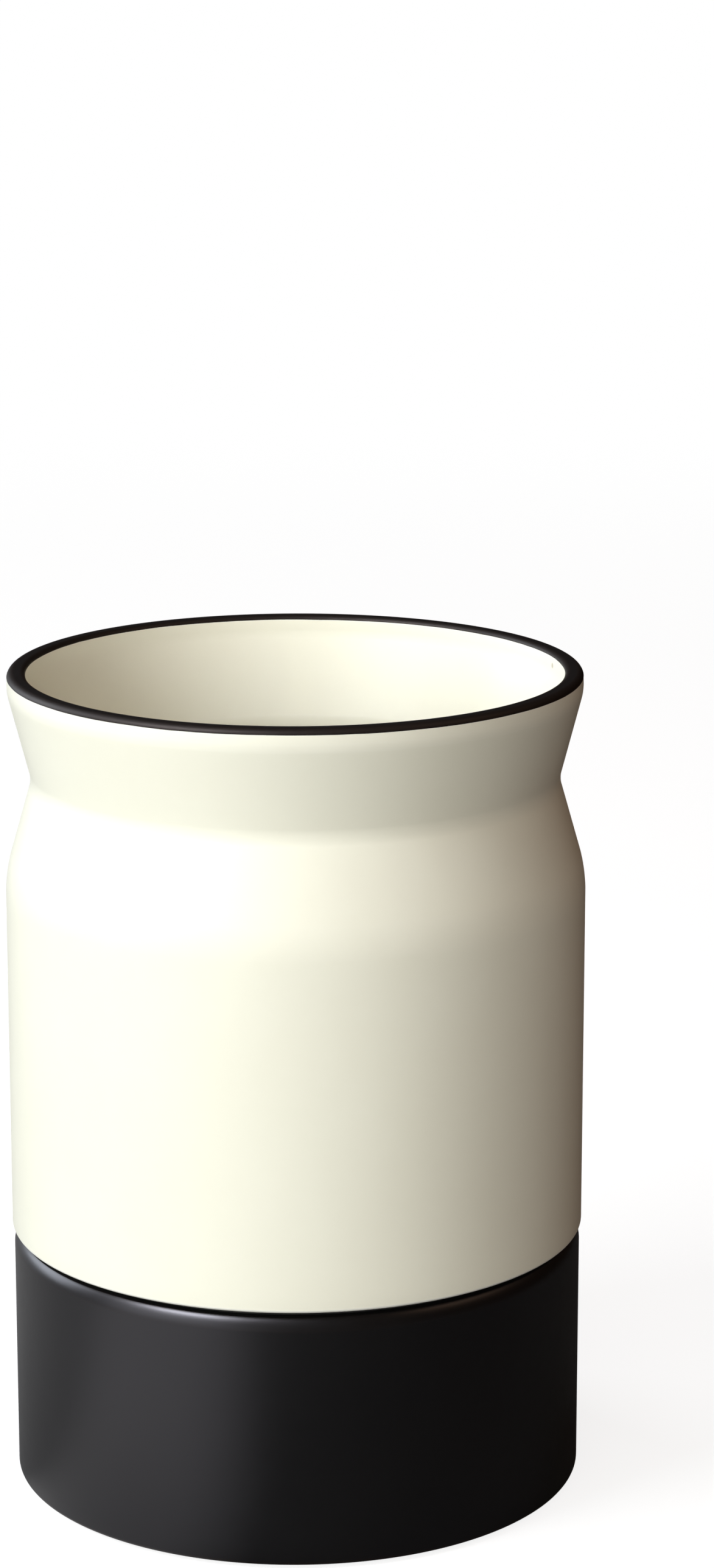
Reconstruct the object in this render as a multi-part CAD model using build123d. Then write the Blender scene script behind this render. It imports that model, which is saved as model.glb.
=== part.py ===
from build123d import *

from math import cos, radians, sin, tan
import os

# A utensil crock in two pieces of stoneware. A cream crock with a black lip
# stands by a short spigot in the mouth of a black base cup, on a soft ring,
# and lifts straight off it. Sizes are in millimetres, +Z is up, and the
# origin is in the middle of the surface that the base cup stands on.

# Base cup, black glazed
base_radius = 62.1
base_height = 54.6
base_wall = 6.0
base_floor = 6.0
base_slope = 1.84
base_slope_tilt = 45
base_shoulder_share = 0.92
base_rim_edge_radius = 0.15
base_mouth_radius = 0.8
base_heel_radius = 1.0
base_well_radius = 6.0
base_recess_depth = 2.0
base_foot_width = 15.6
base_foot_radius = 0.8

# Soft pads let into the base cup's foot
pad_count = 4
pad_first_angle = 45
pad_radius = 5.0
pad_thickness = 1.8
pad_pocket_depth = 1.0
pad_clearance = 0.2
pad_edge_radius = 0.3

# Soft seat ring, pushed up the crock's spigot
ring_width = 4.2
ring_thickness = 1.4
ring_edge_radius = 0.3

# Crock, outside: the rises are between the corners of its outline, seat to top
crock_overhang = 0.4
shoulder_rise = 78.8
neck_rise = 20.6
flare_rise = 19.5
collar_rise = 4.1
neck_depth = 5.9
flare_reach = 5.0
crock_hem_radius = 0.8
shoulder_radius = 28.0
neck_radius = 7.0
flare_radius = 8.0

# Crock, inside
crock_wall = 4.6
crock_floor = 5.0
bowl_rise = 15.4
bowl_radius = 14.0
bowl_floor_radius = 6.0

# Spigot under the crock, and the foot that it stands on when it is off its base
spigot_depth = 12.0
spigot_clearance = 0.8
spigot_wall = 7.3
spigot_edge_radius = 1.0
spigot_foot_width = 5.0
spigot_recess_depth = 2.0

# Drain holes in the crock's floor: one in the middle and a ring about it
drain_radius = 2.5
drain_count = 6
drain_edge = 0.6
drain_circle_share = 0.55

# Lip, and the black band on it
lip_wall = 4.1
lip_outer_radius = 1.5
lip_inner_radius = 1.2
band_outer_drop = 1.25
band_inner_drop = 0.9

# How far every cutter runs past what it cuts
overrun = 2.0

# Radii that follow
base_shoulder_reach = base_slope * sin(radians(base_slope_tilt))
crock_radius = base_radius + crock_overhang
crock_bore = crock_radius - crock_wall
neck_corner = crock_radius - neck_depth
lip_radius = neck_corner + flare_reach
lip_bore = lip_radius - lip_wall
base_bore = base_radius - base_wall
base_recess = base_radius - base_foot_width
pad_circle = base_radius - base_foot_width / 2
spigot_radius = base_bore - spigot_clearance
spigot_recess = spigot_radius - spigot_foot_width
bowl_floor_corner = spigot_radius - spigot_wall
drain_circle = bowl_floor_corner * drain_circle_share

# Heights that follow, from the table up
base_shoulder_drop = base_slope * cos(radians(base_slope_tilt))
base_foot_z = pad_thickness - pad_pocket_depth
base_roof_z = base_foot_z + base_recess_depth
base_floor_z = base_roof_z + base_floor
base_rim_z = base_foot_z + base_height
seat_z = base_rim_z + ring_thickness
shoulder_z = seat_z + shoulder_rise
neck_z = shoulder_z + neck_rise
flare_z = neck_z + flare_rise
top_z = flare_z + collar_rise
spigot_z = seat_z - spigot_depth
spigot_roof_z = spigot_z + spigot_recess_depth
crock_floor_z = spigot_roof_z + crock_floor
bowl_z = seat_z + bowl_rise


def outline_face(corners):
    """The flat face inside a row of corners, each given as radius, height and rounding."""
    points = [(across, up) for across, up, _ in corners]
    roundings = [rounding for _, _, rounding in corners]
    return make_face(FilletPolyline(*points, radius=roundings, close=True))


def turned(face):
    """The solid that a half section makes when it turns about the upright axis."""
    return revolve(Plane.XZ * face, Axis.Z)


def crock_section():
    """Half section of the whole crock, with its lip and its spigot, without the holes."""
    outside = [
        (0, spigot_roof_z, 0),
        (spigot_recess, spigot_roof_z, spigot_edge_radius),
        (spigot_recess, spigot_z, spigot_edge_radius),
        (spigot_radius, spigot_z, spigot_edge_radius),
        (spigot_radius, seat_z, 0),
        (crock_radius, seat_z, crock_hem_radius),
        (crock_radius, shoulder_z, shoulder_radius),
        (neck_corner, neck_z, neck_radius),
        (lip_radius, flare_z, flare_radius),
        (lip_radius, top_z, lip_outer_radius),
    ]
    inside = [
        (lip_bore, top_z, lip_inner_radius),
        (lip_bore, flare_z, flare_radius),
        (neck_corner - crock_wall, neck_z, neck_radius),
        (crock_bore, shoulder_z, shoulder_radius),
        (crock_bore, bowl_z, bowl_radius),
        (bowl_floor_corner, crock_floor_z, bowl_floor_radius),
        (0, crock_floor_z, 0),
    ]
    return outline_face(outside + inside)


def band_zone():
    """The part of the section that is black: it reaches further down inside than outside."""
    outer_z = top_z - band_outer_drop
    inner_z = top_z - band_inner_drop
    above = top_z + overrun
    corners = [
        (lip_radius, outer_z, 0),
        (lip_radius + overrun, outer_z, 0),
        (lip_radius + overrun, above, 0),
        (lip_bore - overrun, above, 0),
        (lip_bore - overrun, inner_z, 0),
        (lip_bore, inner_z, 0),
    ]
    return outline_face(corners)


def drain_cutter():
    """Cuts one drain hole, with its upper edge eased."""
    bottom_z = spigot_roof_z - overrun
    through = crock_floor_z + overrun - bottom_z
    shank = Pos(0, 0, bottom_z + through / 2) * Cylinder(drain_radius, through)
    ease = Pos(0, 0, crock_floor_z - drain_edge / 2)
    return shank + ease * Cone(drain_radius, drain_radius + drain_edge, drain_edge)


def drain_holes():
    """Cutters for all the drain holes."""
    cutter = drain_cutter()
    ring = [place * cutter for place in PolarLocations(drain_circle, drain_count)]
    return [cutter] + ring


def crock_body():
    """The cream crock, up to its black band."""
    vessel = turned(crock_section() - band_zone())
    for hole in drain_holes():
        vessel -= hole
    return vessel


def lip_band():
    """The black band that caps the lip."""
    return turned(crock_section() & band_zone())


def seat_ring():
    """The soft ring round the spigot, between the crock's seat and the base cup's rim."""
    outer = spigot_radius + ring_width
    corners = [
        (spigot_radius, base_rim_z, 0),
        (outer, base_rim_z, ring_edge_radius),
        (outer, seat_z, ring_edge_radius),
        (spigot_radius, seat_z, 0),
    ]
    return turned(outline_face(corners))


def pad_places():
    """Where the pads are, in the middle of the base cup's foot."""
    return PolarLocations(pad_circle, pad_count, start_angle=pad_first_angle)


def base_section():
    """Half section of the base cup, without the pockets: a rounded slope leads from its wall to its rim."""
    base_shoulder_radius = base_slope * base_shoulder_share / tan(radians(base_slope_tilt / 2))
    corners = [
        (0, base_roof_z, 0),
        (base_recess, base_roof_z, base_foot_radius),
        (base_recess, base_foot_z, base_foot_radius),
        (base_radius, base_foot_z, base_heel_radius),
        (base_radius, base_rim_z - base_shoulder_drop, base_shoulder_radius),
        (base_radius - base_shoulder_reach, base_rim_z, base_rim_edge_radius),
        (base_bore, base_rim_z, base_mouth_radius),
        (base_bore, base_floor_z, base_well_radius),
        (0, base_floor_z, 0),
    ]
    return outline_face(corners)


def base_cup():
    """The black base cup, with a pocket in its foot for each pad."""
    cup = turned(base_section())
    reach = pad_pocket_depth + overrun
    middle_z = base_foot_z + pad_pocket_depth - reach / 2
    pocket = Pos(0, 0, middle_z) * Cylinder(pad_radius + pad_clearance, reach)
    for place in pad_places():
        cup -= place * pocket
    return cup


def foot_pads():
    """The soft pads, against the roofs of their pockets and just proud of the foot."""
    corners = [
        (0, 0, 0),
        (pad_radius, 0, pad_edge_radius),
        (pad_radius, pad_thickness, 0),
        (0, pad_thickness, 0),
    ]
    pad = turned(outline_face(corners))
    return Compound(children=[place * pad for place in pad_places()])


pieces = {
    "crock_body": crock_body(),
    "lip_band": lip_band(),
    "seat_ring": seat_ring(),
    "base_cup": base_cup(),
    "foot_pads": foot_pads(),
}

os.makedirs("parts", exist_ok=True)
for name, piece in pieces.items():
    export_step(piece, f"parts/{name}.step")
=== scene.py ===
"""Studio picture of a utensil crock: a cream stoneware crock that stands in a black base cup.

Every length is in metres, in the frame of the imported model: +Z is up, the crock's axis is the Z axis,
and the table is at zero height.
"""

import logging
import math
from collections.abc import Iterable, Sequence
from dataclasses import dataclass, field
from enum import Enum
from functools import reduce

import bmesh
import bpy
from bmesh.types import BMesh
from bpy.types import Material, Node, NodeSocket, NodeTree, Object
from mathutils import Matrix, Vector, noise


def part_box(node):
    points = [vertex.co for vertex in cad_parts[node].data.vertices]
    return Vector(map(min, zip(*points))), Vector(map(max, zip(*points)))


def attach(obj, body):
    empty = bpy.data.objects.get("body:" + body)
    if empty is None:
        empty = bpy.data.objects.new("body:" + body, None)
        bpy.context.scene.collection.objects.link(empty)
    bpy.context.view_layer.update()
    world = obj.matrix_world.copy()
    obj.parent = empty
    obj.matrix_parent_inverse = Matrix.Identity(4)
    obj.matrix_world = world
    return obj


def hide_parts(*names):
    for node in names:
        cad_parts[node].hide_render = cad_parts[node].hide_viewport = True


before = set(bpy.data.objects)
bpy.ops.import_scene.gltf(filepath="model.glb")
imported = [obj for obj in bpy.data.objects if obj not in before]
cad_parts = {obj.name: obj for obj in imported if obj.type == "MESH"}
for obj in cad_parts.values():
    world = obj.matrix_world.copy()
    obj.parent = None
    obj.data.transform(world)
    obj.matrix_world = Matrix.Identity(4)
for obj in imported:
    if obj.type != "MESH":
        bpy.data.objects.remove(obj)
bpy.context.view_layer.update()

MM = 0.001
# Points closer than this are made one.
WELD = 0.001 * MM
# The least reach across an edge that its bend is measured with.
SHORTEST_REACH = 0.05 * MM
# Edges that bend less than this are shaded smooth.
CREASE = math.radians(40)
# Edges of the black band that bend more than this are rolled.
SHARP = math.radians(60)
# Keeps a rounding from taking up a whole side.
NEARLY_ALL = 0.999
# The mark of sharp outward edges: where glaze runs thin, and where the cream's painted highlight lies.
GLAZE_THINNING_AND_HIGHLIGHT = "glaze_thinning_and_highlight"
log = logging.getLogger("crock")


class Body(Enum):
    """The rigid bodies that pieces ride on."""

    BASE = "base"
    CROCK = "crock"


class Slot(Enum):
    """The record's material slots."""

    CREAM = "cream_glaze"
    BLACK = "black_glaze"
    SEAT = "seat_rubber"
    PAD = "pad_rubber"


# Shapes


@dataclass(frozen=True)
class Corner:
    """One corner of half an upright cut through a round piece.

    Args:
        across: How far the corner is from the axis.
        up: Its height above the table.
        radius: The radius that rounds it.
        steps: How many straight steps the rounding takes.
    """

    across: float
    up: float
    radius: float = 0.0
    steps: int = 8


@dataclass
class Section:
    """Half an upright cut through a round piece, which is turned about the Z axis.

    Args:
        corners: The corners of the cut, in order.
        closed: Whether the last corner joins the first.
        ring_gap: The longest straight stretch between two rings of the turned mesh.
    """

    corners: Sequence[Corner]
    closed: bool = False
    ring_gap: float = 3 * MM

    def ease_of(self, index: int) -> float:
        """Finds how much of each side the rounding of a corner takes.

        Args:
            index: Which corner.

        Returns:
            The length from the corner to where its rounding starts.
        """
        count = len(self.corners)
        here = self.corners[index]
        before = self.corners[index - 1]
        after = self.corners[(index + 1) % count]
        arriving = Vector((here.across - before.across, here.up - before.up))
        leaving = Vector((after.across - here.across, after.up - here.up))
        return here.radius * math.tan(arriving.angle(leaving) / 2)

    def wire(self) -> BMesh:
        """Draws the cut's outline in the XZ plane, with its corners rounded.

        Returns:
            A mesh of edges only.
        """
        bm = bmesh.new()
        verts = [bm.verts.new((corner.across, 0.0, corner.up)) for corner in self.corners]
        pairs = list(zip(verts, verts[1:]))
        if self.closed:
            pairs.append((verts[-1], verts[0]))
        for first, second in pairs:
            bm.edges.new((first, second))
        for index, (vert, corner) in enumerate(zip(verts, self.corners)):
            if corner.radius > 0.0:
                bmesh.ops.bevel(
                    bm,
                    geom=[vert],
                    offset=self.ease_of(index),
                    offset_type="OFFSET",
                    segments=corner.steps,
                    profile=0.5,
                    affect="VERTICES",
                    material=-1,
                )
        self.fill_gaps(bm)
        return bm

    def fill_gaps(self, bm: BMesh) -> None:
        """Adds points along the straight stretches, so that no two rings lie far apart.

        Args:
            bm: The outline.
        """
        for edge in list(bm.edges):
            cuts = math.ceil(edge.calc_length() / self.ring_gap) - 1
            if cuts > 0:
                bmesh.ops.subdivide_edges(bm, edges=[edge], cuts=cuts)

    def turned(self, around: int) -> BMesh:
        """Turns the cut about the axis, in so many steps, with its faces outwards."""
        return spun(self.wire(), around)


def spun(bm: BMesh, around: int) -> BMesh:
    """Turns an outline about the Z axis and closes its seam and poles.

    Args:
        bm: The outline, which becomes the round mesh.
        around: How many steps the full turn takes.

    Returns:
        The same mesh.
    """
    bmesh.ops.spin(
        bm,
        geom=bm.verts[:] + bm.edges[:],
        cent=(0.0, 0.0, 0.0),
        axis=(0.0, 0.0, 1.0),
        angle=math.tau,
        steps=around,
        use_merge=True,
    )
    bmesh.ops.remove_doubles(bm, verts=bm.verts[:], dist=WELD)
    bmesh.ops.recalc_face_normals(bm, faces=bm.faces[:])
    return bm


def round_the_ring(count: int, radius: float, first_angle: float = 0.0) -> list[Vector]:
    """Lists evenly spaced places on a circle about the axis, from an angle in degrees from +X."""
    turns = [math.radians(first_angle) + math.tau * step / count for step in range(count)]
    return [Matrix.Rotation(turn, 3, "Z") @ Vector((radius, 0.0, 0.0)) for turn in turns]


def hole_cutter(radius: float, low: float, high: float, low_ease: float, high_ease: float) -> Section:
    """Draws a cutter that leaves a round hole with rolled edges.

    Args:
        radius: The hole's radius.
        low: The height of its lower end.
        high: The height of its upper end.
        low_ease: How far the lower edge is rolled.
        high_ease: How far the upper edge is rolled.

    Returns:
        The cutter's section.
    """
    over = radius / 2
    return Section(
        [
            Corner(0.0, low - over),
            Corner(radius + low_ease, low - over),
            Corner(radius + low_ease, low),
            Corner(radius, low, NEARLY_ALL * low_ease, 5),
            Corner(radius, high, NEARLY_ALL * high_ease, 5),
            Corner(radius + high_ease, high),
            Corner(radius + high_ease, high + over),
            Corner(0.0, high + over),
        ],
        ring_gap=radius,
    )


def repeated(section: Section, places: Iterable[Vector], around: int) -> BMesh:
    """Turns a section and repeats it at each place.

    Args:
        section: What is repeated.
        places: Where its axis goes.
        around: How many steps the turn takes.

    Returns:
        A mesh that holds all the copies.
    """
    single = bpy.data.meshes.new("single")
    turned = section.turned(around)
    turned.to_mesh(single)
    turned.free()
    every = bmesh.new()
    for place in places:
        start = len(every.verts)
        every.from_mesh(single)
        every.verts.ensure_lookup_table()
        bmesh.ops.translate(every, verts=every.verts[start:], vec=place)
    bpy.data.meshes.remove(single)
    return every


def placed(name: str, bm: BMesh) -> Object:
    """Makes a mesh into an object of the scene.

    Args:
        name: What both are called.
        bm: The mesh, which is freed.

    Returns:
        The object.
    """
    mesh = bpy.data.meshes.new(name)
    bm.to_mesh(mesh)
    bm.free()
    made = bpy.data.objects.new(name, mesh)
    bpy.context.scene.collection.objects.link(made)
    return made


def cut_away(bm: BMesh, cutter: BMesh) -> BMesh:
    """Cuts one mesh out of another.

    Args:
        bm: The mesh to cut, which is freed.
        cutter: What is cut out of it, which is freed too.

    Returns:
        The mesh that is left.
    """
    blank, tool = placed("blank", bm), placed("cutter", cutter)
    step = blank.modifiers.new("cut", "BOOLEAN")
    step.operation = "DIFFERENCE"
    step.solver = "EXACT"
    step.object = tool
    graph = bpy.context.evaluated_depsgraph_get()
    cut = bpy.data.meshes.new_from_object(blank.evaluated_get(graph))
    left = bmesh.new()
    left.from_mesh(cut)
    for used in (blank.data, tool.data, cut):
        bpy.data.meshes.remove(used)
    bmesh.ops.remove_doubles(left, verts=left.verts[:], dist=WELD)
    return left


def mark_glaze_thinning_and_highlight(bm: BMesh, full_bend: float) -> None:
    """Writes on each vertex how sharply the surface bends outwards there, where glaze runs thin and where the
    cream carries a painted highlight.

    Args:
        bm: The mesh.
        full_bend: The radius of the bend at which the glaze is thinnest and the cream's painted highlight
            strongest.
    """
    layer = bm.verts.layers.float.new(GLAZE_THINNING_AND_HIGHLIGHT)
    for vert in bm.verts:
        bend = 0.0
        for edge in vert.link_edges:
            if len(edge.link_faces) == 2:
                reach = sum(face.calc_area() for face in edge.link_faces) / edge.calc_length() / 2
                bend = max(bend, edge.calc_face_angle_signed(0.0) / max(reach, SHORTEST_REACH))
        vert[layer] = min(1.0, max(0.0, bend * full_bend))


@dataclass(frozen=True)
class PieceFacts:
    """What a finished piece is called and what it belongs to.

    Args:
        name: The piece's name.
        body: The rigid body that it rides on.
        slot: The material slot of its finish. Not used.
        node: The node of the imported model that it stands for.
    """

    name: str
    body: Body
    slot: Slot
    node: str


def finish_piece(bm: BMesh, facts: PieceFacts, material: Material) -> None:
    """Makes a mesh into a piece of the crock.

    Args:
        bm: The mesh, which is freed.
        facts: What the piece is.
        material: Its finish.
    """
    for edge in bm.edges:
        edge.smooth = edge.calc_face_angle(0.0) < CREASE
    for face in bm.faces:
        face.smooth = True
    piece = placed(facts.name, bm)
    piece.data.materials.append(material)
    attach(piece, facts.body.value)
    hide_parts(facts.node)
    log.info("%s: %d faces", facts.name, len(piece.data.polygons))


# Finishes


Colour = tuple[float, float, float, float]
# What an input is given: another node's socket, a number or a row of numbers.
Feed = NodeSocket | float | tuple[float, ...]
# The sockets of a node group's own inputs, by name.
Given = dict[str, NodeSocket]


def shade(red: float, green: float, blue: float) -> Colour:
    """Makes a colour from linear red, green and blue."""
    return (red, green, blue, 1.0)


WHITE = shade(1.0, 1.0, 1.0)


@dataclass
class Wiring:
    """Fills one node tree.

    A Mix node's inputs go by number: 0 is the mask, 2 and 3 are the numbers that it mixes, 4 and 5 the
    vectors, and 6 and 7 the colours.

    Args:
        tree: The tree that is filled.
    """

    tree: NodeTree

    def node(
        self, kind: str, inputs: dict[str | int, Feed] | None = None, **settings: str | bool | NodeTree
    ) -> Node:
        """Adds a node.

        Args:
            kind: Blender's name for the kind of node.
            inputs: For each input, by name or number, a value or the socket that feeds it.
            **settings: The node's own settings.

        Returns:
            The node.
        """
        made = self.tree.nodes.new(kind)
        for name, value in settings.items():
            setattr(made, name, value)
        self.feed(made, inputs or {})
        return made

    def feed(self, fed: Node, inputs: dict[str | int, Feed]) -> None:
        """Gives a node its inputs.

        Args:
            fed: The node.
            inputs: For each input, by name or number, a value or the socket that feeds it.
        """
        for name, value in inputs.items():
            if isinstance(value, NodeSocket):
                self.tree.links.new(value, fed.inputs[name])
            else:
                fed.inputs[name].default_value = value

    def math(self, operation: str, *values: Feed, clamp: bool = False) -> NodeSocket:
        """Adds one step of arithmetic on numbers or sockets, kept between 0 and 1 if clamped."""
        made = self.node("ShaderNodeMath", dict(enumerate(values)), operation=operation, use_clamp=clamp)
        return made.outputs[0]

    def vector(self, operation: str, *vectors: Feed) -> NodeSocket:
        """Adds one step of vector arithmetic, whose result is a number for a length or a dot product."""
        made = self.node("ShaderNodeVectorMath", dict(enumerate(vectors)), operation=operation)
        return made.outputs["Value" if operation in ("LENGTH", "DOT_PRODUCT") else "Vector"]

    def ramp(self, value: NodeSocket, low: float, high: float) -> NodeSocket:
        """Turns a value into a smooth mask: 0 at the low value and 1 at the high one."""
        inputs = {"Value": value, "From Min": low, "From Max": high, "To Min": 0.0, "To Max": 1.0}
        return self.node("ShaderNodeMapRange", inputs, interpolation_type="SMOOTHSTEP").outputs["Result"]

    def blend(self, mask: Feed, first: Feed, second: Feed) -> NodeSocket:
        """Mixes two colours: the first where the mask is 0 and the second where it is 1."""
        made = self.node("ShaderNodeMix", {0: mask, 6: first, 7: second}, data_type="RGBA")
        return made.outputs[2]

    def between(self, mask: Feed, first: Feed, second: Feed) -> NodeSocket:
        """Mixes two numbers: the first where the mask is 0 and the second where it is 1."""
        made = self.node("ShaderNodeMix", {0: mask, 2: first, 3: second}, data_type="FLOAT")
        return made.outputs[0]

    def cover(self, mask: Feed, first: NodeSocket, second: NodeSocket) -> NodeSocket:
        """Mixes two shaders: the first where the mask is 0 and the second where it is 1."""
        return self.node("ShaderNodeMixShader", {0: mask, 1: first, 2: second}).outputs[0]

    def bump(self, height: NodeSocket, depth: float) -> NodeSocket:
        """Tilts the surface by a height that is 1 at so many metres."""
        made = self.node("ShaderNodeBump", {"Height": height, "Strength": 1.0, "Distance": depth})
        return made.outputs["Normal"]

    def backdrop_share(self, mirrored: NodeSocket) -> NodeSocket:
        """Gives how much of the white backdrop a ray sees.

        Args:
            mirrored: How much of it shows in a glossy surface.

        Returns:
            1 for camera and transmission rays, the given share for glossy rays, and 0 for other light.
        """
        path = self.node("ShaderNodeLightPath").outputs
        direct = self.math("MAXIMUM", path["Is Camera Ray"], path["Is Transmission Ray"])
        glossy = self.math("MULTIPLY", path["Is Glossy Ray"], mirrored)
        return self.math("MAXIMUM", direct, glossy)

    def place(self) -> NodeSocket:
        """Gives the place on the piece, in metres."""
        return self.node("ShaderNodeTexCoord").outputs["Object"]

    def noise(self, scale: Feed, detail: float, roughness: float = 0.5) -> NodeSocket:
        """Adds noise with so many clouds to the metre and so many finer layers, as rough as given."""
        inputs = {"Vector": self.place(), "Scale": scale, "Detail": detail, "Roughness": roughness}
        return self.node("ShaderNodeTexNoise", inputs).outputs[0]


class Effect:
    """A shader node group that more than one finish uses, built once and placed with its own values."""

    title = "effect"
    inputs: dict[str, float] = {}
    output = "Value"
    built: dict[str, NodeTree] = {}

    def draw(self, wiring: Wiring, given: Given) -> NodeSocket:
        """Fills the group.

        Args:
            wiring: The group's wiring.
            given: The group's inputs, by name.

        Returns:
            What the group puts out.
        """
        raise NotImplementedError

    def group(self) -> NodeTree:
        """Gives the group, which is built the first time that it is asked for.

        Returns:
            The group's tree.
        """
        if self.title not in Effect.built:
            tree = bpy.data.node_groups.new(self.title, "ShaderNodeTree")
            for name, value in self.inputs.items():
                socket = tree.interface.new_socket(name, in_out="INPUT", socket_type="NodeSocketFloat")
                socket.default_value = value
            tree.interface.new_socket(self.output, in_out="OUTPUT", socket_type="NodeSocketFloat")
            wiring = Wiring(tree)
            source = wiring.node("NodeGroupInput")
            result = self.draw(wiring, {name: source.outputs[name] for name in self.inputs})
            wiring.node("NodeGroupOutput", {self.output: result})
            Effect.built[self.title] = tree
        return Effect.built[self.title]

    def on(self, wiring: Wiring, **values: float) -> NodeSocket:
        """Places the effect in a finish.

        Args:
            wiring: The finish's wiring.
            **values: The inputs that differ from the usual, with underscores for spaces.

        Returns:
            The effect's output socket.
        """
        made = wiring.node("ShaderNodeGroup", node_tree=self.group())
        wiring.feed(made, {name.replace("_", " ").title(): value for name, value in values.items()})
        return made.outputs[self.output]


class OrangePeel(Effect):
    """The faint waves that a glaze sets with, with a finer dimpling on them."""

    title = "orange_peel"
    inputs = {"Wave": 6 * MM, "Dimple": 0.9 * MM, "Dimple Share": 0.12}
    output = "Height"

    def draw(self, wiring: Wiring, given: Given) -> NodeSocket:
        """Adds the dimples to the waves. See Effect.draw."""
        waves = wiring.noise(wiring.math("DIVIDE", 1.0, given["Wave"]), 1.0)
        dimples = wiring.noise(wiring.math("DIVIDE", 1.0, given["Dimple"]), 1.0)
        return wiring.math("MULTIPLY_ADD", dimples, given["Dimple Share"], waves)


class Mottle(Effect):
    """Slow clouds of colour, with a finer cloud in them."""

    title = "mottle"
    inputs = {"Cloud": 30 * MM, "Contrast": 1.0}
    output = "Mask"

    def draw(self, wiring: Wiring, given: Given) -> NodeSocket:
        """Spreads noise about its middle. See Effect.draw."""
        clouds = wiring.noise(wiring.math("DIVIDE", 1.0, given["Cloud"]), 4.0, 0.6)
        spread = wiring.math("SUBTRACT", clouds, 0.5)
        return wiring.math("MULTIPLY_ADD", spread, given["Contrast"], 0.5, clamp=True)


class Flecks(Effect):
    """Small scattered specks: some cells of a pattern have one, of its own size.

    A fine noise shakes each speck's outline, and its soft edge is a share of the largest speck.
    """

    title = "flecks"
    inputs = {"Spacing": 9 * MM, "Size": 0.04, "Share": 0.3}
    output = "Mask"
    shake = 0.0006
    shake_fineness = 9.0
    soft_edge = 0.3

    def draw(self, wiring: Wiring, given: Given) -> NodeSocket:
        """Keeps the middles of some cells. See Effect.draw."""
        scale = wiring.math("DIVIDE", 1.0, given["Spacing"])
        fine = wiring.math("MULTIPLY", scale, self.shake_fineness)
        shaken = wiring.node("ShaderNodeTexNoise", {"Vector": wiring.place(), "Scale": fine})
        mixed = {0: self.shake, 4: wiring.place(), 5: shaken.outputs["Color"]}
        bent = wiring.node("ShaderNodeMix", mixed, data_type="VECTOR")
        cells = wiring.node(
            "ShaderNodeTexVoronoi", {"Vector": bent.outputs[1], "Scale": scale, "Randomness": 1.0}
        )
        chance = wiring.node("ShaderNodeSeparateColor", {"Color": cells.outputs["Color"]})
        size = wiring.math("MULTIPLY", chance.outputs["Green"], given["Size"])
        inside = wiring.math("SUBTRACT", size, cells.outputs["Distance"])
        edge = wiring.math("MULTIPLY", given["Size"], self.soft_edge)
        spot = wiring.math("DIVIDE", inside, edge, clamp=True)
        kept = wiring.math("LESS_THAN", chance.outputs["Red"], given["Share"])
        return wiring.math("MULTIPLY", spot, kept)


class BareFoot(Effect):
    """Where the clay is left bare: under a level and inside a radius that wavers a little.

    A noise with so many clouds to the metre moves the radius, by the waver times the swing.
    """

    title = "bare_foot"
    inputs = {"Level": 0.0, "Reach": 50 * MM, "Waver": 0.6 * MM}
    output = "Mask"
    clouds = 150.0
    swing = 4.0
    side_border = 0.15 * MM
    level_border = 0.1 * MM

    def draw(self, wiring: Wiring, given: Given) -> NodeSocket:
        """Multiplies the level's mask by the radius's. See Effect.draw."""
        parts = wiring.node("ShaderNodeSeparateXYZ", {"Vector": wiring.place()})
        flat = wiring.node("ShaderNodeCombineXYZ", {"X": parts.outputs["X"], "Y": parts.outputs["Y"]})
        out = wiring.vector("LENGTH", flat.outputs[0])
        shift = wiring.math("SUBTRACT", wiring.noise(self.clouds, 3.0), 0.5)
        swing = wiring.math("MULTIPLY", given["Waver"], self.swing)
        wavy = wiring.math("MULTIPLY_ADD", shift, swing, out)
        depth = wiring.math("SUBTRACT", given["Reach"], wavy)
        inside = wiring.math("DIVIDE", depth, self.side_border, clamp=True)
        height = wiring.math("SUBTRACT", given["Level"], parts.outputs["Z"])
        under = wiring.math("DIVIDE", height, self.level_border, clamp=True)
        return wiring.math("MULTIPLY", inside, under)


class GlazeThinningAndHighlight(Effect):
    """Where glaze has run thin over an edge, and where the cream carries a painted highlight on its edges,
    broken up a little.

    Noise multiplies the mesh's own mark, by the least share and up to the spread more.
    """

    title = "glaze_thinning_and_highlight_mask"
    inputs = {"Strength": 1.0}
    output = "Mask"
    clouds = 260.0
    least = 0.45
    spread = 0.9

    def draw(self, wiring: Wiring, given: Given) -> NodeSocket:
        """Breaks up the mesh's own mark with noise. See Effect.draw."""
        mark = wiring.node("ShaderNodeAttribute", attribute_name=GLAZE_THINNING_AND_HIGHLIGHT).outputs["Fac"]
        broken = wiring.math("MULTIPLY_ADD", wiring.noise(self.clouds, 4.0), self.spread, self.least)
        whole = wiring.math("MULTIPLY", mark, broken)
        return wiring.math("MULTIPLY", whole, given["Strength"], clamp=True)


class TurningLines(Effect):
    """The fine rings that a turning tool leaves in clay, about the axis."""

    title = "turning_lines"
    inputs = {"Pitch": 0.8 * MM}
    output = "Height"
    scale_times_pitch = 0.3

    def draw(self, wiring: Wiring, given: Given) -> NodeSocket:
        """Draws rings about the axis. See Effect.draw."""
        scale = wiring.math("DIVIDE", self.scale_times_pitch, given["Pitch"])
        rings = wiring.node(
            "ShaderNodeTexWave",
            {"Vector": wiring.place(), "Scale": scale, "Distortion": 1.2, "Detail": 2.0, "Detail Scale": 0.2},
            wave_type="RINGS",
            rings_direction="Z",
        )
        return rings.outputs["Fac"]


def blank_material(name: str) -> tuple[Material, Wiring, Node]:
    """Starts a material.

    Args:
        name: The material's name.

    Returns:
        The material, the wiring of its tree, and its surface shader.
    """
    material = bpy.data.materials.new(name)
    material.use_nodes = True
    wiring = Wiring(material.node_tree)
    return material, wiring, material.node_tree.nodes["Principled BSDF"]


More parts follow.
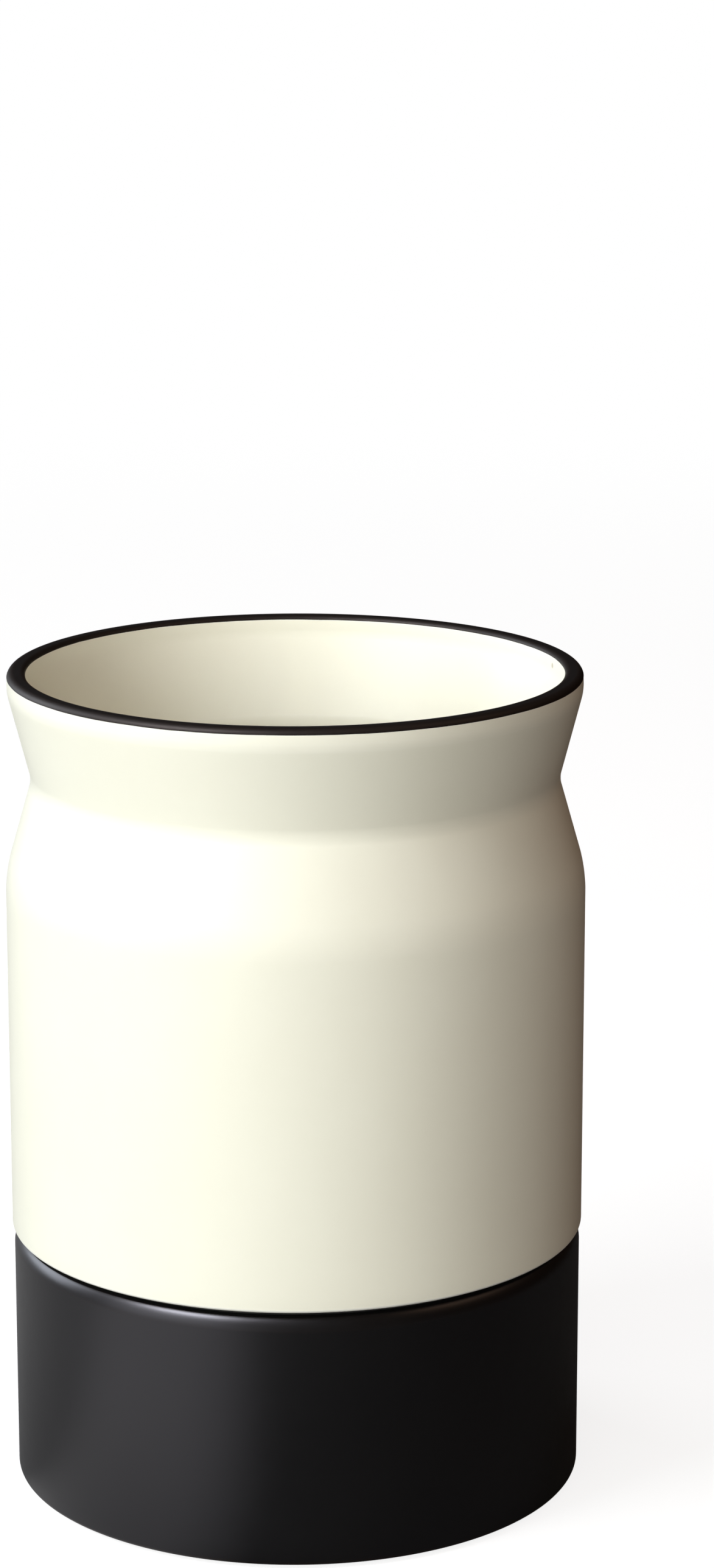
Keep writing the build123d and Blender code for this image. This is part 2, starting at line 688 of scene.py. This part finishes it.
@dataclass(frozen=True)
class BareClay:
    """Fired clay without glaze, as it shows where a piece stood in the kiln.

    Args:
        level: Only what is lower than this is bare.
        reach: Only what is nearer the axis than this is bare.
        colour: The clay.
        dark: Its darker clouds.
        roughness: How rough it is.
    """

    level: float
    reach: float
    colour: Colour = shade(0.46, 0.33, 0.22)
    dark: Colour = shade(0.30, 0.20, 0.13)
    roughness: float = 0.85

    def mask(self, wiring: Wiring) -> NodeSocket:
        """Gives where the clay is bare."""
        return BareFoot().on(wiring, level=self.level, reach=self.reach)

    def colours(self, wiring: Wiring) -> NodeSocket:
        """Gives the clay's clouds and grains.

        Args:
            wiring: The finish's wiring.

        Returns:
            The colour's socket.
        """
        clouds = wiring.blend(Mottle().on(wiring, cloud=14 * MM, contrast=1.6), self.colour, self.dark)
        grains = Flecks().on(wiring, spacing=1.6 * MM, size=0.34, share=0.55)
        return wiring.blend(grains, clouds, self.dark)


@dataclass(frozen=True)
class GlazeFinish:
    """A fired glaze over clay.

    Args:
        name: The finish's name.
        colour: The glaze where it lies thick.
        cloud: What it drifts to in slow clouds.
        edge_thinning_and_highlight: What it turns to over a sharp outward edge: where the glaze runs thin,
            and on the cream a painted highlight as well.
        edge_thinning_and_highlight_strength: How much it turns there.
        fleck: The specks in it.
        fleck_spacing: How far apart the specks' cells are.
        fleck_size: The largest speck, as a share of a cell.
        fleck_share: How many cells have one.
        wave_depth: How high its faint waves are.
        roughness: How rough the glaze is.
        clay: Where the clay under it is bare.
        duller: How much rougher its duller clouds are.
        coat: How much glassy skin lies over it.
        coat_roughness: How rough that skin is.
        specular: How strongly its surface mirrors.
        tint: The colour of what it mirrors.
    """

    name: str
    colour: Colour
    cloud: Colour
    edge_thinning_and_highlight: Colour
    edge_thinning_and_highlight_strength: float
    fleck: Colour
    fleck_spacing: float
    fleck_size: float
    fleck_share: float
    wave_depth: float
    roughness: float
    clay: BareClay
    duller: float = 0.06
    coat: float = 0.0
    coat_roughness: float = 0.2
    specular: float = 0.5
    tint: Colour = WHITE

    def material(self) -> Material:
        """Builds the material.

        Returns:
            The material.
        """
        material, wiring, surface = blank_material(self.name)
        bare = self.clay.mask(wiring)
        clouds = wiring.blend(Mottle().on(wiring, cloud=34 * MM, contrast=1.5), self.colour, self.cloud)
        # Sharp outward edges: glaze thinning, and on the cream a painted highlight.
        edge_thinning_and_highlight = GlazeThinningAndHighlight().on(wiring, strength=self.edge_thinning_and_highlight_strength)
        glaze = wiring.blend(edge_thinning_and_highlight, clouds, self.edge_thinning_and_highlight)
        flecks = Flecks().on(
            wiring, spacing=self.fleck_spacing, size=self.fleck_size, share=self.fleck_share
        )
        speckled = wiring.blend(flecks, glaze, self.fleck)
        dull = Mottle().on(wiring, cloud=12 * MM, contrast=1.8)
        gloss = wiring.between(dull, self.roughness, self.roughness + self.duller)
        height = wiring.between(bare, OrangePeel().on(wiring), TurningLines().on(wiring))
        inputs = {
            "Base Color": wiring.blend(bare, speckled, self.clay.colours(wiring)),
            "Roughness": wiring.between(bare, gloss, self.clay.roughness),
            "Coat Weight": wiring.between(bare, self.coat, 0.0),
            "Coat Roughness": self.coat_roughness,
            "Specular IOR Level": self.specular,
            "Specular Tint": self.tint,
            "Normal": wiring.bump(height, self.wave_depth),
        }
        wiring.feed(surface, inputs)
        return material


@dataclass(frozen=True)
class SoftFinish:
    """Moulded silicone rubber: dull, with a fine grain and a little dust in it.

    Args:
        name: The finish's name.
        colour: The rubber.
        dust: What lies in its grain.
        roughness: How rough it is.
        duller: How much rougher the dust is.
        grain: The grain's size.
        grain_depth: The grain's height.
    """

    name: str
    colour: Colour
    dust: Colour
    roughness: float = 0.62
    duller: float = 0.15
    grain: float = 0.35 * MM
    grain_depth: float = 0.01 * MM

    def material(self) -> Material:
        """Builds the material.

        Returns:
            The material.
        """
        material, wiring, surface = blank_material(self.name)
        clouds = Mottle().on(wiring, cloud=5 * MM, contrast=1.6)
        peel = OrangePeel().on(wiring, wave=self.grain, dimple=self.grain / 3, dimple_share=0.4)
        inputs = {
            "Base Color": wiring.blend(clouds, self.colour, self.dust),
            "Roughness": wiring.between(clouds, self.roughness, self.roughness + self.duller),
            "Normal": wiring.bump(peel, self.grain_depth),
        }
        wiring.feed(surface, inputs)
        return material


# The crock


@dataclass
class Crock:
    """The cream crock, its black lip and the soft ring on its spigot.

    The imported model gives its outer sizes; the fields hold the rest of its outline.
    """

    shoulder_rise: float = 78.8 * MM
    neck_rise: float = 20.6 * MM
    flare_rise: float = 19.5 * MM
    neck_depth: float = 5.9 * MM
    flare_reach: float = 5 * MM
    hem_radius: float = 0.8 * MM
    shoulder_radius: float = 28 * MM
    neck_radius: float = 7 * MM
    flare_radius: float = 8 * MM
    wall: float = 4.6 * MM
    floor: float = 5 * MM
    bowl_rise: float = 15.4 * MM
    bowl_radius: float = 14 * MM
    bowl_floor_radius: float = 6 * MM
    spigot_wall: float = 7.3 * MM
    spigot_foot: float = 5 * MM
    spigot_recess: float = 2 * MM
    spigot_edge: float = 1 * MM
    spigot_fillet: float = 0.3 * MM
    lip_wall: float = 4.1 * MM
    lip_outer_radius: float = 1.5 * MM
    lip_inner_radius: float = 1.2 * MM
    band_outer_drop: float = 1.25 * MM
    band_inner_drop: float = 0.9 * MM
    band_skin: float = 0.12 * MM
    band_depth: float = 0.5 * MM
    band_roll: float = 0.09 * MM
    band_roll_steps: int = 3
    band_waver: float = 0.07 * MM
    waver_slow: float = 5.0
    waver_quick: float = 17.0
    waver_quick_share: float = 0.5
    drain_radius: float = 2.5 * MM
    drain_count: int = 6
    drain_circle_share: float = 0.55
    drain_ease: float = 0.8 * MM
    drain_steps: int = 32
    ring_width: float = 4.2 * MM
    ring_ease: float = 0.3 * MM
    ring_seam: float = 0.12 * MM
    glaze_line: float = 0.35 * MM
    glaze_inset: float = 0.6 * MM
    around: int = 192
    bottom: float = field(init=False)
    radius: float = field(init=False)
    top: float = field(init=False)
    seat: float = field(init=False)
    rim: float = field(init=False)
    spigot: float = field(init=False)

    def __post_init__(self) -> None:
        """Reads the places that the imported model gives."""
        body_low, body_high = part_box("crock_body")
        ring_low, ring_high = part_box("seat_ring")
        self.bottom, self.radius = body_low.z, body_high.x
        self.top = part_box("lip_band")[1].z
        self.rim, self.seat = ring_low.z, ring_high.z
        self.spigot = ring_high.x - self.ring_width

    @property
    def shoulder(self) -> float:
        """The height of the shoulder's corner."""
        return self.seat + self.shoulder_rise

    @property
    def neck(self) -> float:
        """The height of the neck's corner."""
        return self.shoulder + self.neck_rise

    @property
    def flare(self) -> float:
        """The height at which the flare turns upright."""
        return self.neck + self.flare_rise

    @property
    def waist(self) -> float:
        """The radius of the neck's corner."""
        return self.radius - self.neck_depth

    @property
    def lip(self) -> float:
        """The lip's outer radius."""
        return self.waist + self.flare_reach

    @property
    def bore(self) -> float:
        """The lip's inner radius."""
        return self.lip - self.lip_wall

    @property
    def roof(self) -> float:
        """The height of the underside of the floor."""
        return self.bottom + self.spigot_recess

    @property
    def ground(self) -> float:
        """The radius of the floor's corner."""
        return self.spigot - self.spigot_wall

    def bare(self) -> BareClay:
        """Gives where the spigot stood bare in the kiln."""
        return BareClay(self.bottom + self.glaze_line, self.spigot - self.glaze_inset)

    def outside(self) -> list[Corner]:
        """Lists the corners of the outside, from under the floor up to the lip's top.

        Returns:
            The corners.
        """
        foot, skin = self.spigot - self.spigot_foot, self.band_skin
        return [
            Corner(0.0, self.roof),
            Corner(foot, self.roof, self.spigot_edge, 4),
            Corner(foot, self.bottom, self.spigot_edge, 4),
            Corner(self.spigot, self.bottom, self.spigot_edge, 4),
            Corner(self.spigot, self.seat, self.spigot_fillet, 3),
            Corner(self.radius, self.seat, self.hem_radius),
            Corner(self.radius, self.shoulder, self.shoulder_radius, 14),
            Corner(self.waist, self.neck, self.neck_radius, 12),
            Corner(self.lip, self.flare, self.flare_radius),
            Corner(self.lip - skin, self.top - skin, self.lip_outer_radius - skin, 12),
        ]

    def inside(self) -> list[Corner]:
        """Lists the corners of the inside, from the lip's top down to the floor.

        Returns:
            The corners.
        """
        skin = self.band_skin
        return [
            Corner(self.bore + skin, self.top - skin, self.lip_inner_radius - skin, 10),
            Corner(self.bore, self.flare, self.flare_radius),
            Corner(self.waist - self.wall, self.neck, self.neck_radius, 12),
            Corner(self.radius - self.wall, self.shoulder, self.shoulder_radius, 14),
            Corner(self.radius - self.wall, self.seat + self.bowl_rise, self.bowl_radius, 10),
            Corner(self.ground, self.roof + self.floor, self.bowl_floor_radius, 10),
            Corner(0.0, self.roof + self.floor),
        ]

    def drains(self) -> BMesh:
        """Makes the cutter for the drain holes: one in the middle and a ring about it.

        Returns:
            The cutter's mesh.
        """
        ring = round_the_ring(self.drain_count, self.ground * self.drain_circle_share)
        hole = hole_cutter(
            self.drain_radius, self.roof, self.roof + self.floor, self.drain_ease / 2, self.drain_ease
        )
        return repeated(hole, [Vector(), *ring], self.drain_steps)

    def vessel(self, finish: GlazeFinish) -> None:
        """Builds the cream crock.

        Args:
            finish: Its glaze.
        """
        blank = Section([*self.outside(), *self.inside()]).turned(self.around)
        bm = cut_away(blank, self.drains())
        mark_glaze_thinning_and_highlight(bm, self.hem_radius)
        facts = PieceFacts("cream_crock", Body.CROCK, Slot.CREAM, "crock_body")
        finish_piece(bm, facts, finish.material())

    def waver(self, bm: BMesh) -> None:
        """Makes the free edges of a skin wander a little, as the edge of a dipped glaze does.

        Args:
            bm: The skin.
        """
        moves = {}
        for vert in bm.verts:
            if vert.is_boundary:
                inner = next(edge.other_vert(vert) for edge in vert.link_edges if not edge.is_boundary)
                outwards = (vert.co - inner.co).normalized()
                place = Vector((vert.co.x, vert.co.y, 0.0)).normalized()
                quick = self.waver_quick_share * noise.noise(place * self.waver_quick)
                drift = noise.noise(place * self.waver_slow) + quick
                moves[vert] = outwards * drift * self.band_waver
        for vert, move in moves.items():
            vert.co += move

    def band(self, finish: GlazeFinish) -> None:
        """Builds the black glaze on the lip, a skin with rolled edges that laps over the cream.

        Args:
            finish: Its glaze.
        """
        arch = Section(
            [
                Corner(self.lip, self.flare),
                Corner(self.lip, self.top, self.lip_outer_radius, 14),
                Corner(self.bore, self.top, self.lip_inner_radius, 12),
                Corner(self.bore, self.flare),
            ],
            ring_gap=self.band_depth,
        ).wire()
        outer_edge = Vector((self.lip, 0.0, self.top - self.band_outer_drop))
        inner_edge = Vector((self.bore, 0.0, self.top - self.band_inner_drop))
        slope = outer_edge - inner_edge
        bmesh.ops.bisect_plane(
            arch,
            geom=arch.verts[:] + arch.edges[:],
            plane_co=outer_edge,
            plane_no=Vector((-slope.z, 0.0, slope.x)),
            clear_inner=True,
        )
        # An end that is hardly longer than the waver could fold over, so it joins its neighbour.
        for end in [vert for vert in arch.verts if len(vert.link_edges) == 1]:
            last = end.link_edges[0]
            if last.calc_length() < 2 * self.band_waver:
                bmesh.ops.dissolve_verts(arch, verts=[last.other_vert(end)])
        bm = spun(arch, self.around)
        self.waver(bm)
        bmesh.ops.solidify(bm, geom=bm.faces[:], thickness=self.band_depth)
        bmesh.ops.recalc_face_normals(bm, faces=bm.faces[:])
        sharp = [edge for edge in bm.edges if edge.calc_face_angle(0.0) > SHARP]
        bmesh.ops.bevel(
            bm,
            geom=sharp,
            offset=self.band_roll,
            offset_type="OFFSET",
            segments=self.band_roll_steps,
            profile=0.5,
            affect="EDGES",
            material=-1,
        )
        mark_glaze_thinning_and_highlight(bm, self.lip_outer_radius)
        facts = PieceFacts("black_lip", Body.CROCK, Slot.BLACK, "lip_band")
        finish_piece(bm, facts, finish.material())

    def ring(self, finish: SoftFinish) -> None:
        """Builds the soft ring between the crock and its base, with the seam of its mould.

        Args:
            finish: Its rubber.
        """
        outer = self.spigot + self.ring_width
        skin = outer - self.ring_seam
        middle = (self.rim + self.seat) / 2
        bm = Section(
            [
                Corner(self.spigot, self.rim),
                Corner(skin, self.rim, self.ring_ease, 4),
                Corner(skin, middle - self.ring_seam),
                Corner(outer, middle, self.ring_seam / 2, 3),
                Corner(skin, middle + self.ring_seam),
                Corner(skin, self.seat, self.ring_ease, 4),
                Corner(self.spigot, self.seat),
            ],
            closed=True,
            ring_gap=self.ring_width / 2,
        ).turned(self.around)
        facts = PieceFacts("seat_ring_soft", Body.CROCK, Slot.SEAT, "seat_ring")
        finish_piece(bm, facts, finish.material())


@dataclass
class BaseCup:
    """The black cup that the crock stands in, and the soft pads under it.

    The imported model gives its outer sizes; the fields hold the rest of its outline.
    """

    wall: float = 6 * MM
    floor: float = 6 * MM
    slope: float = 1.84 * MM
    slope_tilt: float = 45.0
    shoulder_share: float = 0.92
    rim_edge_radius: float = 0.15 * MM
    mouth_radius: float = 0.8 * MM
    heel_radius: float = 1 * MM
    well_radius: float = 6 * MM
    recess_depth: float = 2 * MM
    foot_width: float = 15.6 * MM
    foot_radius: float = 0.8 * MM
    pocket_depth: float = 1 * MM
    pocket_radius: float = 5.2 * MM
    pocket_ease: float = 0.3 * MM
    pocket_steps: int = 48
    pad_count: int = 4
    pad_first_angle: float = 45.0
    pad_radius: float = 5 * MM
    pad_edge_radius: float = 0.3 * MM
    pad_dish_radius: float = 2.4 * MM
    pad_dish_depth: float = 0.35 * MM
    pad_steps: int = 64
    glaze_line: float = 0.3 * MM
    glaze_inset: float = 1.2 * MM
    around: int = 192
    foot: float = field(init=False)
    rim: float = field(init=False)
    radius: float = field(init=False)
    pad_bottom: float = field(init=False)
    pad_top: float = field(init=False)

    def __post_init__(self) -> None:
        """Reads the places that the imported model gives."""
        low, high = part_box("base_cup")
        pad_low, pad_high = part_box("foot_pads")
        self.foot, self.rim, self.radius = low.z, high.z, high.x
        self.pad_bottom, self.pad_top = pad_low.z, pad_high.z

    def bare(self) -> BareClay:
        """Gives where the foot stood bare in the kiln."""
        return BareClay(self.foot + self.glaze_line, self.radius - self.glaze_inset)

    def pad_places(self) -> list[Vector]:
        """Lists where the pads are, in the middle of the foot."""
        circle = self.radius - self.foot_width / 2
        return round_the_ring(self.pad_count, circle, self.pad_first_angle)

    def pockets(self) -> BMesh:
        """Makes the cutter for the pads' pockets.

        Returns:
            The cutter's mesh.
        """
        over = self.pocket_radius
        pocket = Section(
            [
                Corner(0.0, self.foot - over),
                Corner(self.pocket_radius + self.pocket_ease, self.foot - over),
                Corner(self.pocket_radius + self.pocket_ease, self.foot),
                Corner(self.pocket_radius, self.foot, NEARLY_ALL * self.pocket_ease, 4),
                Corner(self.pocket_radius, self.foot + self.pocket_depth),
                Corner(0.0, self.foot + self.pocket_depth),
            ],
            ring_gap=over,
        )
        return repeated(pocket, self.pad_places(), self.pocket_steps)

    def cup(self, finish: GlazeFinish) -> None:
        """Builds the cup, with a pocket in its foot for each pad.

        Args:
            finish: Its glaze.
        """
        recess = self.radius - self.foot_width
        roof = self.foot + self.recess_depth
        tilt = math.radians(self.slope_tilt)
        edge = self.radius - self.slope * math.sin(tilt)
        shoulder = self.rim - self.slope * math.cos(tilt)
        shoulder_radius = self.slope * self.shoulder_share / math.tan(tilt / 2)
        blank = Section(
            [
                Corner(0.0, roof),
                Corner(recess, roof, self.foot_radius, 4),
                Corner(recess, self.foot, self.foot_radius, 4),
                Corner(self.radius, self.foot, self.heel_radius, 6),
                Corner(self.radius, shoulder, shoulder_radius, 12),
                Corner(edge, self.rim, self.rim_edge_radius, 3),
                Corner(self.radius - self.wall, self.rim, self.mouth_radius, 6),
                Corner(self.radius - self.wall, roof + self.floor, self.well_radius, 10),
                Corner(0.0, roof + self.floor),
            ]
        ).turned(self.around)
        bm = cut_away(blank, self.pockets())
        mark_glaze_thinning_and_highlight(bm, self.heel_radius)
        facts = PieceFacts("black_base", Body.BASE, Slot.BLACK, "base_cup")
        finish_piece(bm, facts, finish.material())

    def pads(self, finish: SoftFinish) -> None:
        """Builds the soft pads, each with a shallow dish in its face.

        Args:
            finish: Their rubber.
        """
        depth = self.pad_dish_depth
        dish = self.pad_bottom + depth
        pad = Section(
            [
                Corner(0.0, dish),
                Corner(self.pad_dish_radius, dish, depth, 3),
                Corner(self.pad_dish_radius + depth, self.pad_bottom, depth / 2, 3),
                Corner(self.pad_radius, self.pad_bottom, self.pad_edge_radius, 5),
                Corner(self.pad_radius, self.pad_top),
                Corner(0.0, self.pad_top),
            ],
            ring_gap=self.pad_radius / 2,
        )
        bm = repeated(pad, self.pad_places(), self.pad_steps)
        facts = PieceFacts("foot_pads_soft", Body.BASE, Slot.PAD, "foot_pads")
        finish_piece(bm, facts, finish.material())


# The studio


@dataclass(frozen=True)
class Softbox:
    """A lamp with a soft oblong face, aimed at the crock.

    Args:
        name: The lamp's name.
        azimuth: Which way it stands from the crock, in degrees: 0 is the camera's side and 90 is +X.
        elevation: How high it stands, in degrees.
        width: How wide its face is.
        height: How high its face is.
        watts: Its power.
        colour: Its light's colour.
        mirrored: Whether it shows in glossy surfaces.
        spread_out: Whether it lights dull surfaces.
        distance: How far away it stands.
    """

    name: str
    azimuth: float
    elevation: float
    width: float
    height: float
    watts: float
    colour: tuple[float, float, float]
    mirrored: bool = True
    spread_out: bool = True
    distance: float = 1.6

    def place(self, target: Vector) -> None:
        """Sets the lamp up.

        Args:
            target: What it is aimed at.
        """
        lamp = bpy.data.lights.new(self.name, "AREA")
        lamp.shape = "RECTANGLE"
        lamp.size = self.width
        lamp.size_y = self.height
        lamp.energy = self.watts
        lamp.color = self.colour
        stand = bpy.data.objects.new(self.name, lamp)
        bpy.context.scene.collection.objects.link(stand)
        swing = Matrix.Rotation(math.radians(self.azimuth), 3, "Z")
        lift = Matrix.Rotation(-math.radians(self.elevation), 3, "X")
        towards = swing @ lift @ Vector((0.0, -1.0, 0.0))
        stand.location = target + towards * self.distance
        stand.rotation_euler = towards.to_track_quat("Z", "Y").to_euler()
        stand.visible_camera = False
        stand.visible_glossy = self.mirrored
        stand.visible_diffuse = self.spread_out


@dataclass(frozen=True)
class Glow:
    """A side of the white backdrop that shows in glossy surfaces only: a painted reflection of the floor
    where the lamps light it.

    Args:
        azimuth: Which way it lies from the crock, in degrees: 0 is the camera's side and 90 is +X.
        full: How far to each side it is whole, in degrees.
        faded: How far to each side it has gone.
        share: How much of the white shows.
    """

    azimuth: float
    full: float
    faded: float
    share: float

    def mask(self, wiring: Wiring, outward: NodeSocket) -> NodeSocket:
        """Gives how much of the white shows.

        Args:
            wiring: The wiring of a tree.
            outward: The direction from the crock, of length 1.

        Returns:
            The mask's socket.
        """
        turn = math.radians(self.azimuth)
        middle = (math.sin(turn), -math.cos(turn), 0.0)
        near = wiring.vector("DOT_PRODUCT", outward, middle)
        low, high = (math.cos(math.radians(angle)) for angle in (self.faded, self.full))
        return wiring.math("MULTIPLY", wiring.ramp(near, low, high), self.share)


# The painted reflection of the lit floor on the left, which gives the black base its sheen.
LEFT_GLOW = Glow(-48.0, 10.0, 40.0, 0.95)


def lit_side(wiring: Wiring, outward: NodeSocket, *glows: Glow) -> NodeSocket:
    """Gives how much of the white backdrop shows in the crock's glaze, a painted reflection of its lit side,
    whose dark side stays dark.

    Args:
        wiring: The wiring of a tree.
        outward: A vector that points away from the crock.
        *glows: The sides of the backdrop that show.

    Returns:
        The mask's socket.
    """
    direction = wiring.vector("NORMALIZE", outward)
    masks = [glow.mask(wiring, direction) for glow in glows]
    return reduce(lambda first, second: wiring.math("MAXIMUM", first, second), masks)


@dataclass(frozen=True)
class FloorFinish:
    """The plain pale floor, which the camera sees as white outside the crock's shadow.

    Args:
        colour: The floor as the camera sees it.
        roughness: How rough it is.
        bounce: What it gives back to the crock, dim enough to leave the black glaze dark.
        glows: The sides of it that show in the glaze, a painted reflection of the lit floor.
        painted_contact_shadow: How much less of its white the glaze mirrors right beside the crock: a painted
            shadow where the crock stands.
        shut: How far out it is so.
        open: How far from the crock the glaze mirrors all of it.
        near: How far from the crock it is seen as it is lit.
        far: How far from the crock it is plain white.
        lift: How much white is laid over the lit floor near the crock.
    """

    colour: Colour = shade(0.3, 0.3, 0.3)
    roughness: float = 0.9
    bounce: Colour = shade(0.08, 0.08, 0.08)
    glows: tuple[Glow, ...] = (LEFT_GLOW, Glow(-105.0, 30.0, 75.0, 0.3))
    painted_contact_shadow: float = 0.5
    shut: float = 0.05
    open: float = 0.17
    near: float = 0.35
    far: float = 1.6
    lift: float = 0.83

    def material(self) -> Material:
        """Builds the material.

        Returns:
            The material.
        """
        material, wiring, surface = blank_material("pale_floor")
        inputs = {"Base Color": self.colour, "Roughness": self.roughness, "Specular IOR Level": 0.0}
        wiring.feed(surface, inputs)
        out = wiring.vector("LENGTH", wiring.place())
        veil = wiring.node("ShaderNodeEmission", {"Strength": self.lift})
        lifted = wiring.node("ShaderNodeAddShader", {0: surface.outputs[0], 1: veil.outputs[0]})
        white = wiring.node("ShaderNodeEmission", {"Strength": 1.0}).outputs[0]
        seen = wiring.cover(wiring.ramp(out, self.near, self.far), lifted.outputs[0], white)
        path = wiring.node("ShaderNodeLightPath").outputs
        shown = wiring.cover(path["Is Glossy Ray"], seen, white)
        dim = wiring.node("ShaderNodeBsdfDiffuse", {"Color": self.bounce}).outputs[0]
        # Painted shadow: the mirrored white is dimmed right beside the crock.
        shaded = wiring.between(wiring.ramp(out, self.shut, self.open), 1.0 - self.painted_contact_shadow, 1.0)
        # Painted reflection: glossy rays see the floor white only on its lit side.
        mirrored = wiring.math("MULTIPLY", lit_side(wiring, wiring.place(), *self.glows), shaded)
        mixed = wiring.cover(wiring.backdrop_share(mirrored), dim, shown)
        wiring.feed(wiring.tree.nodes["Material Output"], {"Surface": mixed})
        return material


@dataclass
class Studio:
    """The floor, the lamps, the white around them and the camera."""

    floor_radius: float = 40.0
    floor_sides: int = 96
    target_height: float = 0.095
    ambient: Colour = shade(1.0, 0.5, 0.3)
    ambient_strength: float = 0.075
    ambient_mirrored: float = 0.015
    camera_back: float = 0.85619
    camera_height: float = 0.35662
    camera_tip: float = 76.69
    camera_pan: float = -0.882
    lens: float = 93.92
    lamps: tuple[Softbox, ...] = (
        Softbox("key_softbox", -55.0, 42.0, 0.6, 0.35, 13.5, (0.9, 0.95, 1.0)),
        Softbox("glint_softbox", -53.0, 45.0, 0.8, 0.4, 17.0, (0.96, 0.96, 1.0), spread_out=False),
        Softbox("front_softbox", -23.0, 15.0, 2.4, 0.85, 27.5, (0.98, 1.0, 0.97), mirrored=False),
        Softbox("left_softbox", -57.0, 18.0, 1.4, 0.85, 3.0, (0.9, 0.95, 1.0)),
        Softbox("rear_softbox", -120.0, 20.0, 0.9, 0.9, 14.0, (0.86, 0.93, 1.0)),
        Softbox("right_softbox", 78.0, 46.0, 0.9, 0.9, 2.3, (1.0, 0.66, 0.43)),
    )

    def floor(self) -> None:
        """Lays the floor."""
        bm = bmesh.new()
        bmesh.ops.create_circle(bm, cap_ends=True, segments=self.floor_sides, radius=self.floor_radius)
        floor = placed("floor", bm)
        floor.data.materials.append(FloorFinish().material())

    def surroundings(self) -> None:
        """Puts white behind everything, and a dim warm light around it."""
        world = bpy.data.worlds.new("studio_white")
        world.use_nodes = True
        bpy.context.scene.world = world
        wiring = Wiring(world.node_tree)
        dim = world.node_tree.nodes["Background"]
        path = wiring.node("ShaderNodeLightPath").outputs
        strength = wiring.between(path["Is Glossy Ray"], self.ambient_strength, self.ambient_mirrored)
        wiring.feed(dim, {"Color": self.ambient, "Strength": strength})
        white = wiring.node("ShaderNodeBackground", {"Color": WHITE, "Strength": 1.0})
        outward = wiring.node("ShaderNodeTexCoord").outputs["Generated"]
        # Painted reflection: glossy rays see the backdrop white only on its lit side.
        share = wiring.backdrop_share(lit_side(wiring, outward, LEFT_GLOW))
        mixed = wiring.cover(share, dim.outputs[0], white.outputs[0])
        wiring.feed(world.node_tree.nodes["World Output"], {"Surface": mixed})

    def camera(self) -> None:
        """Sets the camera up where the photograph was taken from."""
        lens = bpy.data.cameras.new("camera")
        lens.lens = self.lens
        camera = bpy.data.objects.new("camera", lens)
        bpy.context.scene.collection.objects.link(camera)
        camera.location = (0.0, -self.camera_back, self.camera_height)
        camera.rotation_euler = (math.radians(self.camera_tip), 0.0, math.radians(self.camera_pan))
        bpy.context.scene.camera = camera

    def build(self) -> None:
        """Sets the whole studio up."""
        self.floor()
        self.surroundings()
        for lamp in self.lamps:
            lamp.place(Vector((0.0, 0.0, self.target_height)))
        self.camera()
        bpy.context.scene.view_settings.view_transform = "Standard"
        log.info("studio: %d lamps", len(self.lamps))


def cream_glaze(clay: BareClay) -> GlazeFinish:
    """Gives the satin cream glaze of the crock.

    Args:
        clay: Where it leaves the clay bare.

    Returns:
        The finish.
    """
    return GlazeFinish(
        name="cream_glaze",
        colour=shade(0.86, 0.845, 0.72),
        cloud=shade(0.83, 0.81, 0.68),
        # Lighter cream on the hem and lip edges: a painted highlight, with some real thinning of the glaze.
        edge_thinning_and_highlight=shade(0.93, 0.92, 0.85),
        fleck=shade(0.5, 0.45, 0.36),
        clay=clay,
        edge_thinning_and_highlight_strength=0.9,
        fleck_spacing=16 * MM,
        fleck_size=0.05,
        fleck_share=0.8,
        roughness=0.38,
        coat=0.1,
        wave_depth=0.015 * MM,
    )


def black_glaze(name: str, roughness: float, specular: float, tint: Colour, clay: BareClay) -> GlazeFinish:
    """Gives the satin black glaze of the lip and the base.

    Args:
        name: The finish's name.
        roughness: How rough it is.
        specular: How strongly it mirrors.
        tint: The colour of what it mirrors.
        clay: Where it leaves the clay bare.

    Returns:
        The finish.
    """
    return GlazeFinish(
        name=name,
        colour=shade(0.0030, 0.0030, 0.0032),
        cloud=shade(0.0042, 0.0040, 0.0040),
        edge_thinning_and_highlight=shade(0.009, 0.0055, 0.004),
        fleck=shade(0.016, 0.012, 0.009),
        clay=clay,
        edge_thinning_and_highlight_strength=0.7,
        fleck_spacing=5 * MM,
        fleck_size=0.04,
        fleck_share=0.3,
        roughness=roughness,
        specular=specular,
        tint=tint,
        wave_depth=0.02 * MM,
    )


def build_crock() -> None:
    """Builds the crock's pieces."""
    crock = Crock()
    crock.vessel(cream_glaze(crock.bare()))
    crock.band(black_glaze("black_lip_glaze", 0.5, 0.34, shade(1.0, 0.88, 0.84), BareClay(0.0, 0.0)))
    crock.ring(SoftFinish("seat_rubber", shade(0.012, 0.012, 0.012), shade(0.03, 0.029, 0.027)))


def build_base() -> None:
    """Builds the base cup's pieces."""
    base = BaseCup()
    base.cup(black_glaze("black_base_glaze", 0.32, 0.62, shade(0.95, 0.92, 1.0), base.bare()))
    base.pads(SoftFinish("pad_rubber", shade(0.02, 0.02, 0.02), shade(0.05, 0.048, 0.045)))


def main() -> None:
    """Builds the pieces and lights them, and logs how many faces each piece has."""
    logging.basicConfig(level=logging.INFO, format="%(name)s %(message)s")
    build_crock()
    build_base()
    Studio().build()


if __name__ == "__main__":
    main()
